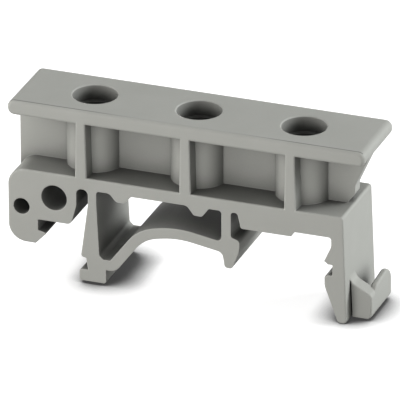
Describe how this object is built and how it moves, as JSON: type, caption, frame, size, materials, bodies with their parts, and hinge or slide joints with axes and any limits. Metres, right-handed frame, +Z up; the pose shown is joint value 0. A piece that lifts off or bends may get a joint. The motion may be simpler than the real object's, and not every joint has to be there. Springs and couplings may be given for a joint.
{
  "type": "din rail adapter",
  "caption": "Clip-on plastic adapter that hooks over a 35 mm top-hat rail, with a sprung arch foot, a latching leg with release lever, and a ribbed top plate with screw holes.",
  "frame": {"origin": "on the middle screw hole's axis, which is also the rail's centre line, at the height of the rail's underside", "axes": "+X along the adapter, across the rail, from the fixed hook to the latching leg; +Y along the rail, away from the viewer; +Z up, away from the panel, out of the screw holes"},
  "size_m": [0.043, 0.0098, 0.0214],
  "materials": {
    "grey_polyamide": "matte"
  },
  "bodies": {
    "root": {"adapter_moulding": "grey_polyamide"}
  },
  "joints": []
}
